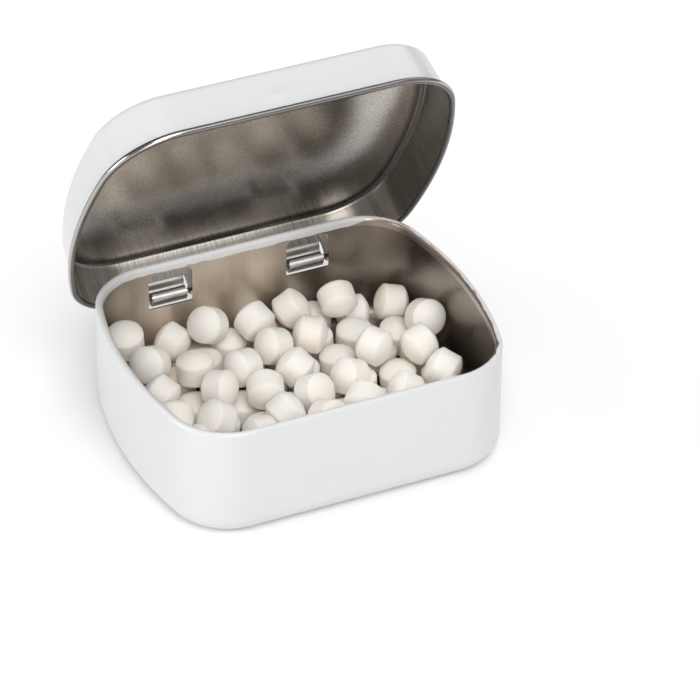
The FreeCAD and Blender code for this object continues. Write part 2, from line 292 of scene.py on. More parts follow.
def piece(name, vertices, blocks, slots, materials, body, nodes, maps):
    """Mesh object at the origin from arrays in millimetres. Blocks are arrays of faces, and slots their
    material numbers. Maps are named values, or pairs of values, for the vertices, kept as UV maps."""
    mesh = bpy.data.meshes.new(name)
    mesh.from_pydata((vertices * mm).tolist(), [], [face for block in blocks for face in block.tolist()])
    mesh.polygons.foreach_set("material_index", np.concatenate(slots).astype(np.int32))
    mesh.polygons.foreach_set("use_smooth", np.ones(len(mesh.polygons), bool))
    corners = np.zeros(len(mesh.loops), np.int32)
    mesh.loops.foreach_get("vertex_index", corners)
    for label, values in maps.items():
        pairs = values if values.ndim == 2 else np.stack([values, values], -1)
        mesh.uv_layers.new(name=label).data.foreach_set("uv", pairs[corners].astype(np.float32).ravel())
    for material in materials:
        mesh.materials.append(material)
    mesh.validate()
    mesh.set_sharp_from_angle(angle=sharp_angle)
    made = bpy.data.objects.new(name, mesh)
    bpy.context.scene.collection.objects.link(made)
    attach(made, body)
    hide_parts(*nodes)
    print(name, "points", len(vertices), "faces", len(mesh.polygons))
    return made


print("edges sharper than", round(math.degrees(sharp_angle)), "degrees stay crisp")

# %% [markdown]
# ## Finishes from nodes
# Every finish is a material made of shader nodes. They could be placed by hand in the shader editor, but
# then the file wouldn't say what they are. A few helpers keep each node to one line: a socket handed in is
# linked, and anything else is the value of the input.

# %% Node helpers
def wire(tree, node, inputs):
    """Links or sets the inputs of a node by name or number."""
    for key, value in inputs.items():
        if isinstance(value, bpy.types.NodeSocket):
            tree.links.new(value, node.inputs[key])
        else:
            node.inputs[key].default_value = value


def add(tree, kind, inputs=None, **settings):
    """Adds a node, gives it its settings, and links or sets its inputs."""
    made = tree.nodes.new(kind)
    for name, value in settings.items():
        setattr(made, name, value)
    wire(tree, made, inputs or {})
    return made


def mixed(tree, share, first, last, kind="RGBA", blend="MIX"):
    """Mix of two colours, or of two values where the kind is FLOAT."""
    inputs = {"Factor": share, "A": first, "B": last}
    return add(tree, "ShaderNodeMix", inputs, data_type=kind, blend_type=blend).outputs["Result"]


def ranged(tree, value, low, high, to_low, to_high, steps="LINEAR"):
    """Value carried from one range to another and held at its ends."""
    inputs = {"Value": value, "From Min": low, "From Max": high, "To Min": to_low, "To Max": to_high}
    return add(tree, "ShaderNodeMapRange", inputs, interpolation_type=steps).outputs["Result"]


def sums(tree, operation, first, second=0.0, third=0.0):
    """Result of a Math node."""
    return add(tree, "ShaderNodeMath", {0: first, 1: second, 2: third}, operation=operation).outputs[0]


def map_vector(tree, label):
    """One of the piece's UV maps as a vector."""
    return add(tree, "ShaderNodeUVMap", uv_map=label).outputs["UV"]


def map_values(tree, label):
    """The two values of a UV map, named X and Y."""
    return add(tree, "ShaderNodeSeparateXYZ", {0: map_vector(tree, label)}).outputs


def blank_material(name):
    """New material with its node tree and its Principled shader."""
    material = bpy.data.materials.new(name)
    material.use_nodes = True
    tree = material.node_tree
    return material, tree, tree.nodes["Principled BSDF"]


print("helpers for nodes", [made.__name__ for made in (add, mixed, ranged, sums, map_values)])

# %% [markdown]
# ## Mottle and draw streaks
# No real surface is quite even. Lacquer, metal and sugar all show soft patches and a fine grain, and a drawn
# metal wall has streaks where the tool pulled it. Image textures could give these, but noise in the shader
# needs no file and stays sharp close up. Each is a node group, because several finishes use it with their
# own values.

# %% Groups for mottle and streaks
def group_of(name, place, values, outputs):
    """Empty shader group with one vector input, named values with defaults, and value outputs."""
    tree = bpy.data.node_groups.new(name, "ShaderNodeTree")
    tree.interface.new_socket(place, in_out="INPUT", socket_type="NodeSocketVector")
    for label, default in values.items():
        socket = tree.interface.new_socket(label, in_out="INPUT", socket_type="NodeSocketFloat")
        socket.default_value = default
    for label in outputs:
        tree.interface.new_socket(label, in_out="OUTPUT", socket_type="NodeSocketFloat")
    return tree, tree.nodes.new("NodeGroupInput").outputs, tree.nodes.new("NodeGroupOutput")


def noise(tree, place, scale, detail, roughness=0.5):
    """Soft noise from 0 to 1 at a place."""
    inputs = {"Vector": place, "Scale": scale, "Detail": detail, "Roughness": roughness}
    return add(tree, "ShaderNodeTexNoise", inputs).outputs["Fac"]


mottle, given, result = group_of("mottle", "Place", {"Patches": 200.0, "Grain": 4000.0}, ["Patch", "Fine"])
patch = noise(mottle, given["Place"], given["Patches"], 4.0)
fine = noise(mottle, given["Place"], given["Grain"], 3.0)
wire(mottle, result, {"Patch": patch, "Fine": fine})

draws = {"Across": 3.0, "Along": 0.08}
streaks, given, result = group_of("draw_streaks", "Wrap", draws, ["Streak", "Scratch"])
stretch = add(streaks, "ShaderNodeCombineXYZ", {"X": given["Across"], "Y": given["Along"]}).outputs[0]
drawn = add(streaks, "ShaderNodeVectorMath", {0: given["Wrap"], 1: stretch}, operation="MULTIPLY").outputs[0]
wide = noise(streaks, drawn, 1.0, 5.0, 0.65)
thin = noise(streaks, drawn, 6.0, 3.0)
wire(streaks, result, {"Streak": wide, "Scratch": thin})


def mottled(tree, patches, grain):
    """Patch and fine values of the mottle group, on the piece's own coordinates."""
    where = add(tree, "ShaderNodeTexCoord").outputs["Object"]
    inputs = {"Place": where, "Patches": patches, "Grain": grain}
    spots = add(tree, "ShaderNodeGroup", inputs, node_tree=mottle)
    return spots.outputs["Patch"], spots.outputs["Fine"]


print("groups", mottle.name, streaks.name)

# %% [markdown]
# ## White enamel
# The outside is a cool white lacquer baked onto the sheet, smooth with a faint ripple. A plain white shader
# would look like plastic. A thin coat over a base whose colour and gloss wander a little gives the depth of
# lacquer. The printed panel later lays its inks on the same lacquer, so one function dresses both.

# %% Enamel
enamel_low = (0.62, 0.626, 0.624, 1)
enamel_high = (0.635, 0.641, 0.639, 1)


def lacquer(name, inked=None):
    """White lacquer. inked, where given, takes the tree and the white and gives the colour with its inks."""
    material, tree, shader = blank_material(name)
    patch, fine = mottled(tree, 60.0, 900.0)
    white = mixed(tree, patch, enamel_low, enamel_high)
    ripple = add(tree, "ShaderNodeBump", {"Height": fine, "Strength": 0.03, "Distance": 0.03 * mm})
    wire(tree, shader, {
        "Base Color": inked(tree, white) if inked else white,
        "Roughness": ranged(tree, patch, 0, 1, 0.27, 0.31),
        "Normal": ripple.outputs["Normal"],
        "Coat Weight": 0.3,
        "Coat Roughness": 0.08,
    })
    return material


enamel = lacquer("white_enamel")
print("finish", enamel.name)

# %% [markdown]
# ## Enamel on the rim
# On the rolled rim the lacquer ends in a ragged line, and at the right end it has worn off the roll. A
# separate strip of metal would give a straight edge. Instead the rim's map says how far a point lies past
# the lacquer's end, the mottle makes that line ragged, and past it the shader turns from white into warm
# metal. At the back the white is painted lighter: painted light on the part of the rim under the open lid.

# %% Rim enamel
# The lighter white for the back of the rim is painted light.
rim_painted_light_white = (0.79, 0.797, 0.795, 1)
rim_metal = (0.56, 0.49, 0.45, 1)
rim_enamel, tree, shader = blank_material("rim_enamel")
patch, fine = mottled(tree, 700.0, 2600.0)
past = map_values(tree, "rim")["X"]
painted_light_at_back = map_values(tree, "rub")["X"]
worn = ranged(tree, sums(tree, "MULTIPLY_ADD", patch, 0.5, past), 0.22, 0.3, 0, 1, "SMOOTHSTEP")
# Painted light: the white turns lighter towards the back.
white = mixed(tree, painted_light_at_back, enamel_high, rim_painted_light_white)
wire(tree, shader, {
    "Base Color": mixed(tree, worn, white, rim_metal),
    "Metallic": worn,
    "Roughness": ranged(tree, fine, 0, 1, 0.24, 0.34),
})
print("finish", rim_enamel.name)

# %% [markdown]
# ## Bare tinplate
# Inside, the tin is bare: a warm grey metal with a fine grain and, on drawn walls, streaks that run with the
# draw. One metal for all of it would look flat, so walls, panels, folds and cut edges each get a tone of
# their own, some of it painted light and shade. One function makes them all from a dark and a light colour,
# how streaked the metal is, and maps that say where a painted sheen brightens it or how far a point lies
# from a panel's edge.

# %% Bare tinplate
tone_low = 0.3
tone_high = 0.7
# Reaches of the painted shade in a panel's fold and of the painted light just inside it.
fold_shade_reach = 1.3
edge_light_reach = 14.0


def bare_metal(name, streaked, dark, light, gloss, rub=None, painted_sheen_gloss=None, painted_sheen_map="rub",
               grain=0.12, edge_shade_and_light=False):
    """Bare tinplate between two colours and two roughness values. Where streaked is 1 the streaks tell them
    apart, and where it is 0 the patches do. The sheen colour, a painted sheen, goes where its map is 1. A
    panel with edge shading gets painted shade in its fold, painted light just inside it and a fine speckle,
    by the distance in its inset map."""
    material, tree, shader = blank_material(name)
    patch, fine = mottled(tree, 90.0, 5000.0)
    inputs = {"Wrap": map_vector(tree, "wrap"), "Across": 3.6, "Along": 0.05}
    lines = add(tree, "ShaderNodeGroup", inputs, node_tree=streaks).outputs
    tone = mixed(tree, streaked, patch, lines["Streak"], "FLOAT")
    colour = mixed(tree, ranged(tree, tone, tone_low, tone_high, 0, 1), dark, light)
    rough = ranged(tree, tone, tone_low, tone_high, *gloss)
    # Painted sheen: a lighter colour where the sheen map is 1, stronger on the streaks.
    if rub:
        mask = map_values(tree, painted_sheen_map)["X"]
        bright = ranged(tree, lines["Streak"], 0.38, 0.6, 1 - streaked, 1)
        colour = mixed(tree, sums(tree, "MULTIPLY", mask, bright), colour, rub)
        rough = mixed(tree, mask, rough, painted_sheen_gloss, "FLOAT")
    # Painted shade in the panel's fold and painted light just inside it, with a fine speckle.
    if edge_shade_and_light:
        inset = map_values(tree, "inset")["X"]
        fold = ranged(tree, inset, 0, fold_shade_reach, 0.3, 1, "SMOOTHSTEP")
        edge_light = ranged(tree, inset, fold_shade_reach, edge_light_reach, 1.65, 1)
        speck = ranged(tree, fine, tone_low, tone_high, 0.7, 1.3)
        shade = sums(tree, "MULTIPLY", sums(tree, "MULTIPLY", fold, edge_light), speck)
        colour = mixed(tree, 1.0, colour, shade, blend="MULTIPLY")
    height = mixed(tree, streaked, fine, lines["Scratch"], "FLOAT")
    bump = add(tree, "ShaderNodeBump", {"Height": height, "Strength": grain, "Distance": 0.04 * mm})
    wire(tree, shader, {
        "Base Color": colour,
        "Roughness": rough,
        "Normal": bump.outputs["Normal"],
        "Metallic": 1.0,
    })
    print("finish", name)
    return material


# %% Metals of the body
flat_dark = (0.35, 0.325, 0.30, 1)
flat_light = (0.47, 0.445, 0.415, 1)
flat_gloss = (0.15, 0.21)
edge_gloss = (0.15, 0.2)
# Its lighter colour is a painted sheen on the back wall.
bare_body = bare_metal("bare_body", 0.08, (0.27, 0.245, 0.22, 1), (0.35, 0.32, 0.29, 1), (0.24, 0.34),
                       rub=(0.84, 0.77, 0.695, 1), painted_sheen_gloss=0.36)
bare_flat = bare_metal("bare_flat", 0.06, flat_dark, flat_light, flat_gloss, grain=0.35)
bare_edge = bare_metal("bare_edge", 0.0, (0.17, 0.16, 0.155, 1), (0.23, 0.22, 0.21, 1), edge_gloss)
bare_hinge = bare_metal("bare_hinge", 0.3, (0.62, 0.60, 0.575, 1), (0.93, 0.91, 0.88, 1), (0.36, 0.48))

# %% Metals of the lid
# Its lighter colour is a painted sheen on the back fold, the back wall and the left end.
bare_wall = bare_metal("bare_wall", 0.85, (0.29, 0.268, 0.246, 1), (0.54, 0.508, 0.468, 1), (0.24, 0.36),
                       rub=(0.90, 0.87, 0.83, 1), painted_sheen_gloss=0.45)
# The panel gets painted shade in its fold and painted light beside it.
bare_panel = bare_metal("bare_panel", 0.06, flat_dark, flat_light, flat_gloss, grain=0.35, edge_shade_and_light=True)
# Its lighter colour is a painted highlight on the bead's crest.
bare_bead = bare_metal("bare_bead", 0.0, (0.15, 0.14, 0.135, 1), (0.20, 0.19, 0.185, 1), edge_gloss,
                       rub=(0.52, 0.495, 0.475, 1), painted_sheen_gloss=0.12, painted_sheen_map="crest")

# %% [markdown]
# ## The body
# The body is drawn from one sheet: floor, wall and a rim rolled inwards into a short hem. Extruding the
# outline and bevelling it would lose the roll, so the whole section is bent and carried round. The outside
# of the sheet stays outside all the way, so the roll and the hem are white and only the inner side is bare.
# Grid lines are placed where the hinge windows will need an edge.

# %% Sizes of the body and its windows
floor_bend = 3.0
rim_roll = 0.55
rim_hem = 1.3
window_width = 7.1
window_rise = 5.05
window_round = 1.2
slot_fall = 1.3
hinge_inset = 1.87
window_half = window_width / 2
hinge_offset = corner_x - hinge_inset - window_half
hinge_places = (-hinge_offset, hinge_offset)
print("hinges at", round(hinge_offset, 2), "from the middle")

# %% Body section
lean_rise = 0.3
level_step = 1.5
window_foot = hinge_z - slot_fall
window_top = hinge_z + window_rise
window_side = window_top - window_round
lean_top = window_top + rim_roll + lean_rise
rim_foot = body_height - rim_roll
arch = window_side + window_round * np.sin(np.radians(np.linspace(0, 90, 8)))
wall_levels = sorted_lines(
    np.arange(floor_bend + 1, lean_top - lean_rise, level_step),
    [window_foot, lean_top - lean_rise, lean_top, rim_foot],
    arch,
)
base_middle, base_left = bent_line((-floor_bend, half), 0, [
    (floor_bend - half, 90, 14),
    run_to(wall_levels - floor_bend),
    (rim_roll - half, 180, 18),
    run_to(np.linspace(0, rim_hem - rim_roll, 5)),
])
print("section points", len(base_middle), "length", round(float(travelled(base_middle)[-1]), 2))

# %% Body grid
lean_width = 0.8
window_margin = 2.0
between = hinge_offset - window_half - window_margin
points, normals = outline(np.linspace(-corner_x, corner_x, 34), sorted_lines(
    [-corner_x, 0.0, corner_x],
    *[centre + np.linspace(-window_half, window_half, 15) for centre in hinge_places],
    *[centre + (window_half + lean_width) * np.array([-1, 1]) for centre in hinge_places],
    np.linspace(-between, between, 9),
))
base_rings = 10
base_grid = swept_skin(points, normals, base_middle, base_left, base_rings)
base_wrap = wrap_map(points, base_middle, base_rings)
rows, columns = base_grid.shape[:2]
print("body grid", rows, "by", columns)

# %% [markdown]
# ## Hinge windows
# Each hinge works through a window punched in the back wall, with rounded upper corners. A Boolean would cut
# it, but would leave long thin faces that shade badly. Here the window's faces are left out of the grid, and
# its rounded corners come from leaning the grid's upright lines in towards the top of the window. The wall
# is flat there, so the lean doesn't show.

# %% Lines that lean to the windows
def lean_lines(grid, normals):
    """Leans the back wall's upright lines to the windows' outline. At height z the half width of a window is
    w - r + sqrt(r^2 - (z - side)^2) in its round, and returns to w a little above the top. A line inside the
    window keeps its share of the width, and one outside eases back to its place."""
    x = grid[..., 0]
    z = grid[..., 2]
    on_back = facing(normals, 1)[:, None] & (z > window_foot - half) & (z < rim_foot)
    up = np.clip((z - window_side) / window_round, 0, 1)
    back_out = np.clip((lean_top - z) / (lean_top - window_top), 0, 1)
    narrow = window_round * (1 - np.sqrt(1 - up**2)) * back_out
    shift = np.zeros_like(x)
    for centre in hinge_places:
        away = np.abs(x - centre)
        inside = away / window_half
        outside = np.clip(1 - (away - window_half) / lean_width, 0, 1)
        shift -= np.sign(x - centre) * narrow * np.where(away <= window_half + hair, inside, outside)
    grid[..., 0] = np.where(on_back, x + shift, x)


lean_lines(base_grid, normals)
print("windows", window_width, "by", round(window_top - window_foot, 2))

# %% Windows left out
def hinge_rows(points, normals, centre, half_width):
    """First and last row of the grid within a hinge's width on the straight back."""
    back_rows = np.flatnonzero(facing(normals, 1))
    low, high = span(points[back_rows, 0], centre - half_width, centre + half_width)
    return low + back_rows[0], high + back_rows[0]


def window_edge(ids, low_i, high_i, low_j, high_j):
    """Faces through the sheet round a window: its outer and inner loops of points, joined step by step."""
    along = np.arange(low_i, high_i)
    up = np.arange(low_j, high_j)
    loop_i = np.concatenate([along, np.full(len(up), high_i), along[::-1] + 1, np.full(len(up), low_i)])
    loop_j = np.concatenate([np.full(len(along), low_j), up, np.full(len(along), high_j), up[::-1] + 1])
    outer = ids[loop_i, loop_j]
    inner = ids[loop_i, -1 - loop_j]
    return np.stack([np.roll(outer, -1), outer, inner, np.roll(inner, -1)], -1)


wall_places = np.flatnonzero(np.abs(base_middle[:, 0] + half) < hair)
wall_span = span(base_middle[wall_places, 1], window_foot, window_top)
low_j, high_j = np.add(wall_span, wall_places[0] + base_rings)
keep = np.ones((rows, columns - 1), bool)
ids = np.arange(rows * columns).reshape(rows, columns)
window_edges = []
for centre in hinge_places:
    low_i, high_i = hinge_rows(points, normals, centre, window_half)
    keep[low_i:high_i, low_j:high_j] = False
    keep[low_i:high_i, columns - 1 - high_j:columns - 1 - low_j] = False
    window_edges.append(window_edge(ids, low_i, high_i, low_j, high_j))
print("window faces left out", int((~keep).sum()))

# %% [markdown]
# ## Bridges
# Across each window stands a bridge, a narrow band of the wall pressed outwards to the hinge axis. The lid's
# tongue rolls round it, as there is no pin. It could be pulled out of the wall's own grid, but as a strip
# with four bends it keeps its thickness everywhere.

# %% Bridges
bridge_height = 0.7
bridge_bend = 0.2
bridge_slope = 80.0
slope = math.radians(bridge_slope)
bridge_ramp = (lid_gap + half - 2 * bridge_bend * (1 - math.cos(slope))) / math.sin(slope)
bridge_run = 2 * bridge_bend * math.sin(slope) + bridge_ramp * math.cos(slope)
bridge_flat = window_width - 2 * bridge_run
rise = (bridge_bend, bridge_slope, 6)
fall = (bridge_bend, -bridge_slope, 6)
ramp = run_to([bridge_ramp])
level = run_to(np.linspace(0, bridge_flat, 8))
bridge_middle, bridge_left = bent_line((-window_half, -half), 0, [rise, ramp, fall, level, fall, ramp, rise])
bridge_width = np.full(len(bridge_middle), bridge_height)


def bridge_at(centre):
    """Strip that runs along x at the hinge's height, bent outwards from the back wall."""
    def place(across, along, out):
        return np.stack([centre + along, back_wall + out, hinge_z + across], -1)

    return strip(bridge_middle, bridge_left, bridge_width, place)


bridges = [bridge_at(centre) for centre in hinge_places]
print("bridge flat", round(bridge_flat, 2))

# %% [markdown]
# ## Maps on the body
# Two of the body's finishes need to know where they are. The straight back gets a painted sheen and its rim
# painted light, and on the rim the lacquer ends near the hem, or on the roll at the worn right end. Painting
# a mask by hand would do, but as formulas of the grid's own distances the maps follow the sheet wherever it
# bends.

# %% Maps of painted sheen and of the rim's lacquer
# Place and fade of the painted sheen along the back.
sheen_shift = 5.0
sheen_fade = 10.0
hem_margin = 0.06
long_wander = 0.06
long_wave = 0.9
short_wander = 0.05
short_wave = 2.3
roll_share = 0.35
worn_from = 0.1
worn_fade = 0.5


def ease(value):
    """Smooth step from 0 at 0 to 1 at 1."""
    value = np.clip(value, 0, 1)
    return value * value * (3 - 2 * value)


def painted_sheen_share(vertices):
    """1 on the straight back and falling to 0 round the back corners, from the shut positions: where the back
    gets painted sheen, and the body's rim painted light. The stretch lies a little to the left of the middle."""
    towards_back = ease((vertices[:, 1] - corner_y) / (corner_radius - 1))
    sideways = ease((corner_x + 1 - np.abs(vertices[:, 0] + sheen_shift)) / sheen_fade)
    return towards_back * sideways


def past_lacquer(wrap, normals):
    """Way along the section past the lacquer's end, which lies near the hem's end and, on the right, on the
    inside of the roll. Two waves along the rim make the end wander."""
    around, along = wrap[..., 0], wrap[..., 1]
    hem_end = along.max()
    on_roll = hem_end - (rim_hem - rim_roll) - roll_share * math.pi * (rim_roll - half)
    at_right = ease((normals[:, :1] - worn_from) / worn_fade)
    wander = long_wander * np.sin(long_wave * around) + short_wander * np.sin(short_wave * around + 1)
    return along - (hem_end - hem_margin + (on_roll - hem_end) * at_right) + wander


rim_past = past_lacquer(base_wrap, normals)
print("lacquer ends up to", round(float(rim_past.max()), 2), "before the end of the hem")

# %% [markdown]
# ## The body as one mesh
# Skin, window edges and bridges go into one mesh, as the real body is one stamping. The finishes are
# material slots by columns of the grid: white outside, the rim's own enamel on the roll, bare metal inside.

# %% Body mesh
def padded(values, count):
    """Values of a grid as a list for all vertices, with zeros for those that follow the grid."""
    flat = values.reshape(-1, *values.shape[2:])
    return np.concatenate([flat, np.zeros((count - len(flat), *flat.shape[1:]))])


def wrap_for(wrap, vertices, strips_from):
    """Wrap map for all vertices: the grid's own, and x and z on the strips."""
    made = padded(wrap, len(vertices))
    made[strips_from:] = vertices[strips_from:, [0, 2]]
    return made


base_finishes = [enamel, bare_body, bare_flat, bare_hinge, rim_enamel, bare_edge]
on_white, on_wall, on_floor, on_hinge, on_rim, on_edge = range(len(base_finishes))
places = np.arange(columns - 1)
inner_side = places >= columns // 2
floor_part = (places < base_rings) | (places >= columns - 1 - base_rings)
rim_part = places >= base_rings + wall_places[-1]
inner_slot = np.where(floor_part, on_floor, on_wall)
column_slot = np.where(inner_side, inner_slot, np.where(rim_part, on_rim, on_white))
skin = np.concatenate([base_grid.reshape(-1, 3), [[0, 0, 0], [0, 0, sheet]]])
vertices, blocks = joined([(skin, skin_faces(rows, columns, keep) + window_edges)] + bridges)
slots = [np.broadcast_to(column_slot, keep.shape)[keep], np.repeat([on_white, on_floor], rows)]
slots += [np.full(len(edge), on_edge) for edge in window_edges]
slots += [strip_slots(len(bridge_middle) - 1, on_hinge, on_edge) for bridge in bridges]
maps = {
    "wrap": wrap_for(base_wrap, vertices, len(skin)),
    "rub": painted_sheen_share(vertices),
    "rim": padded(rim_past, len(vertices)),
}
tin_body = piece("tin_body", vertices, blocks, slots, base_finishes, "base", ["tin_base"], maps)

# %% [markdown]
# ## The lid
# The lid's section starts at the edge of the panel, bends down, leans out and curls outwards into a tight
# bead. Here the bare side of the sheet is the one that shows on the bead, which is why a white lid has a
# metal edge. As with the body, one bent section is carried round. The lid is made shut and turned open about
# the hinge at the end, because its sizes are easier to read that way.

# %% Sizes of the lid
lid_top_gap = 0.3
lid_inside_depth = 7.3
lid_draft = 6.0
lid_bend = 1.15
lid_reach = 1.38
bead_diameter = 1.0
tongue_root = 2.75
lid_panel = body_height + lid_top_gap
lid_edge = lid_panel - lid_inside_depth
bead_middle = bead_diameter / 2 - half
bead_centre = np.array([lid_gap + lid_reach - bead_diameter / 2, lid_edge + bead_diameter / 2])
lid_foot = bead_centre - bead_middle * aim(lid_draft)
bend_middle = lid_bend - half
draft = math.radians(lid_draft)
lid_shoulder = lid_panel + half - bend_middle * (1 - math.sin(draft))


def lid_wall(height):
    """Middle of the lid's wall at a height, on the line that leans out by the draft."""
    return lid_foot + aim(90 + lid_draft) * (height - lid_foot[1]) / math.cos(draft)


panel_edge = lid_wall(lid_shoulder) - bend_middle * aim(lid_draft) + np.array([0, bend_middle])
notch_top = lid_edge + tongue_root
print("lid edge when shut", round(lid_edge, 2), "panel edge", round(float(panel_edge[0]), 2), "out")

# %% Lid section
bend_steps = 10
bead_turn = 280.0
bead_steps = 30
lid_levels = np.concatenate([np.linspace(lid_foot[1], lid_shoulder, 30), [notch_top]])
lid_middle, lid_left = bent_line(panel_edge, 0, [
    (bend_middle, lid_draft - 90, bend_steps),
    run_to((lid_shoulder - lid_levels) / math.cos(draft)),
    (bead_middle, bead_turn, bead_steps),
])
print("section points", len(lid_middle), "length", round(float(travelled(lid_middle)[-1]), 2))

# %% Lid grid
tongue_width = 6.8
notch_gap = 0.25
notch_margin = 1.0
bump_reach = 3.2
bump_lines = np.linspace(-bump_reach, bump_reach, 25)
notch_half = tongue_width / 2 + notch_gap
between = hinge_offset - notch_half - notch_margin
points, normals = outline(
    sorted_lines(np.linspace(-corner_x, corner_x, 20), bump_lines),
    sorted_lines(
        [-corner_x, corner_x],
        *[centre + np.linspace(-notch_half, notch_half, 9) for centre in hinge_places],
        np.linspace(-between, between, 12),
    ),
)
lid_rings = 24
bead_first = lid_rings + len(lid_middle) - 1 - bead_steps
lid_grid = swept_skin(points, normals, lid_middle, lid_left, lid_rings)
lid_wrap = wrap_map(points, lid_middle, lid_rings)
rows, columns = lid_grid.shape[:2]
print("lid grid", rows, "by", columns)

# %% [markdown]
# ## Thumb bump and front edge
# A small bump in the middle of the front wall gives the thumb a hold. It could be sculpted, but as a smooth
# hill in two directions it only moves points that are already there. The lid's wall is also a little deeper
# at the front than at the hinge, so the grid is stretched downwards in proportion to the distance from the
# hinge.

# %% Thumb bump
bump_width = 5.0
bump_height = 2.4
bump_press = 0.28
bump_slope = 0.5
bump_lift = 2.9
across = ease(1 - np.abs(lid_grid[..., 0]) / (bump_width / 2 + bump_slope))
upward = ease(1 - np.abs(lid_grid[..., 2] - lid_edge - bump_lift) / (bump_height / 2 + bump_slope))
before_bead = lid_grid[..., 1] > -back_wall - lid_gap - lid_reach / 2
bump = bump_press * across * upward * (facing(normals, -1)[:, None] & before_bead)
lid_grid[..., 1] -= bump
print("bump stands out by", round(float(bump.max()), 2))

# %% Deeper front
front_drop = 0.8
below_panel = np.clip((lid_shoulder - lid_middle[:, 1]) / (lid_shoulder - lid_foot[1]), 0, 1)
below_panel[-bead_steps:] = 1
below_panel = there_and_back(np.concatenate([np.zeros(lid_rings), below_panel]))
to_front = np.clip((hinge_y - lid_grid[..., 1]) / (hinge_y + back_wall), 0, 1)
lid_grid[..., 2] -= front_drop * below_panel * to_front
print("front edge lower by", front_drop)

# %% [markdown]
# ## Notches and tongues
# At each hinge the bead is cut away and a tongue of the wall goes on instead: it steps out to the bead's
# line, drops, turns in under the bridge and rolls up round it inside the tin. Cutting and bending the wall's
# own grid would distort it, so the grid is left open at a notch and the tongue is a strip that starts at the
# notch's top.

# %% Notches for the tongues
on_lid_wall = lid_middle[:-bead_steps - 1, 1]
notch_j = int(np.argmin(np.abs(on_lid_wall - notch_top))) + lid_rings
keep = np.ones((rows, columns - 1), bool)
ids = np.arange(rows * columns).reshape(rows, columns)
notch_edges = []
notch_caps = []
for centre in hinge_places:
    low_i, high_i = hinge_rows(points, normals, centre, notch_half)
    keep[low_i:high_i, notch_j:columns - 1 - notch_j] = False
    top = ids[low_i:high_i + 1, notch_j]
    under = ids[low_i:high_i + 1, columns - 1 - notch_j]
    notch_edges.append(np.stack([top[:-1], top[1:], under[1:], under[:-1]], -1))
    notch_caps.append(ids[low_i, notch_j:columns - notch_j][None, ::-1])
    notch_caps.append(ids[high_i, notch_j:columns - notch_j][None])
print("notch starts", round(float(lid_middle[notch_j - lid_rings, 1] - lid_edge), 2), "above the edge")

# %% Middle line of a tongue
tongue_slope = 60.0
tongue_bend = 0.62
knuckle_bend = 0.3
hook_turn = 120.0
hinge_clearance = 0.15
step_bend_steps = 8
knuckle_steps = 12
hook_steps = 28
root = lid_wall(notch_top)
outside = lid_gap + lid_reach - half
lean = math.radians(tongue_slope)
step_bends = tongue_bend * (math.cos(draft) + 1 - 2 * math.cos(lean))
step_run = (outside - root[0] - step_bends) / math.sin(lean)
step_fall = tongue_bend * (2 * math.sin(lean) - math.sin(draft)) + step_run * math.cos(lean)
hook = math.hypot(bridge_height / 2, half) + hinge_clearance + half
drop = root[1] - step_fall - (hinge_z - hook + knuckle_bend)
tongue_middle, tongue_left = bent_line(root, lid_draft - 90, [
    (tongue_bend, tongue_slope - lid_draft, step_bend_steps),
    run_to([step_run]),
    (tongue_bend, -tongue_slope, step_bend_steps),
    run_to(np.linspace(0, drop, 8)),
    (knuckle_bend, -90, knuckle_steps),
    run_to([outside - knuckle_bend - lid_gap]),
    (hook, -hook_turn, hook_steps),
])
tongue_travel = travelled(tongue_middle)
print("tongue length", round(float(tongue_travel[-1]), 2))

# %% Tongues
tongue_shoulder = 0.5
hook_side_gap = 0.1
hook_end_round = 0.6
end_blunt = 0.98
hook_width = bridge_flat - 2 * (half + hook_side_gap)
near_end = np.clip((tongue_travel - tongue_travel[-1] + hook_end_round) / hook_end_round, 0, 1)
narrow = hook_width - 2 * hook_end_round * (1 - np.sqrt(1 - end_blunt * near_end**2))
first = int(np.argmax(tongue_middle[:, 1] < hinge_z + tongue_shoulder))
order = np.insert(np.arange(len(tongue_travel)), first, first)
tongue_widths = np.concatenate([np.full(first + 1, tongue_width), narrow[first:]])


def tongue_at(centre):
    """Strip that runs down from the notch, out of the lid's wall, at the shut lid's place. Its shoulder,
    where the width changes at once, is two rectangles at the same point."""
    def place(across, out, up):
        return np.stack([centre - across, back_wall + out, up], -1)

    return strip(tongue_middle[order], tongue_left[order], tongue_widths, place)


tongues = [tongue_at(centre) for centre in hinge_places]
print("hook width", round(hook_width, 2))

# %% [markdown]
# ## The printed panel
# The lid's top carries a print in fresh greens: rings of plain dots round the middle, thin circles, and a
# fine frame that keeps its distance from the edge. A picture could be mapped onto the panel, but each of
# these is a short formula on the panel's own flat coordinates, so the print stays crisp at any size.

# %% Print on the panel
dark_green = (0.10, 0.30, 0.05, 1)
light_green = (0.36, 0.52, 0.10, 1)
dark_lime = (0.30, 0.48, 0.10, 1)
light_lime = (0.56, 0.66, 0.20, 1)
circle_ink = (0.10, 0.28, 0.20, 1)
frame_ink = (0.12, 0.30, 0.22, 1)
shade_reach = 10.0
full_turn = 2 * math.pi


def within(tree, value, edge, soft):
    """1 where a value is below an edge and 0 above it, with a soft step between."""
    return ranged(tree, value, edge - soft, edge + soft, 1, 0, "SMOOTHSTEP")


def on_line(tree, value, at, wide, soft=0.04):
    """Mask of a line where a value is near a given one."""
    return within(tree, sums(tree, "ABSOLUTE", sums(tree, "SUBTRACT", value, at)), wide, soft)


def length_of(tree, first, second):
    """Length of the hypotenuse, the root of the sum of two squares."""
    squares = [sums(tree, "POWER", side, 2.0) for side in (first, second)]
    return sums(tree, "SQRT", sums(tree, "ADD", *squares))


